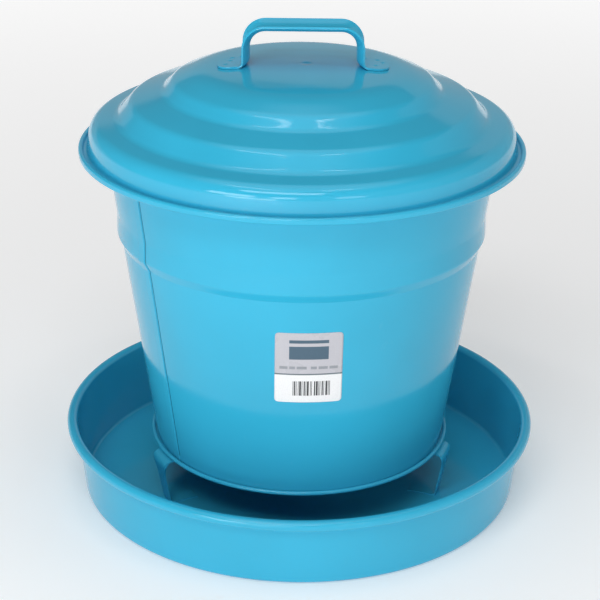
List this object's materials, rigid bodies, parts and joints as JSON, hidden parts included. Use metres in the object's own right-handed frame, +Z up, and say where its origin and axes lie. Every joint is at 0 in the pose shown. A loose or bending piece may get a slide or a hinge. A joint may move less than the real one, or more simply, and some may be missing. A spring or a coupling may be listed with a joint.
{
  "type": "gravity poultry feeder",
  "caption": "Round sheet-metal poultry feeder: a tapered hopper stands on strap legs in a rolled-rim pan and refills it by gravity, under a domed lift-off lid with a handle.",
  "frame": {"origin": "centre of the pan's resting face, on the axis of the pan, hopper and lid", "axes": "+Z up along the feeder's axis; -Y is the front, where the label is; the handle runs along X"},
  "size_m": [0.38, 0.38, 0.3809],
  "materials": {
    "pan_coat": "glossy powder coat",
    "hopper_coat": "glossy powder coat",
    "leg_coat": "glossy powder coat",
    "lid_coat": "glossy powder coat",
    "handle_coat": "glossy powder coat",
    "label_film": "printed vinyl sticker",
    "steel_wire": "drawn wire"
  },
  "bodies": {
    "feeder": {"pan": "pan_coat", "hopper": "hopper_coat", "hopper_bottom_wire": "steel_wire", "leg_left": "leg_coat", "leg_right": "leg_coat", "leg_rear": "leg_coat", "label": "label_film"},
    "lid": {"lid": "lid_coat", "lid_rim_wire": "steel_wire", "lid_handle": "handle_coat"}
  },
  "joints": [
    {"name": "lid_lift", "type": "slide", "parent": "feeder", "child": "lid", "axis": [0, 0, 1], "range_m": [0, 0.12]}
  ]
}
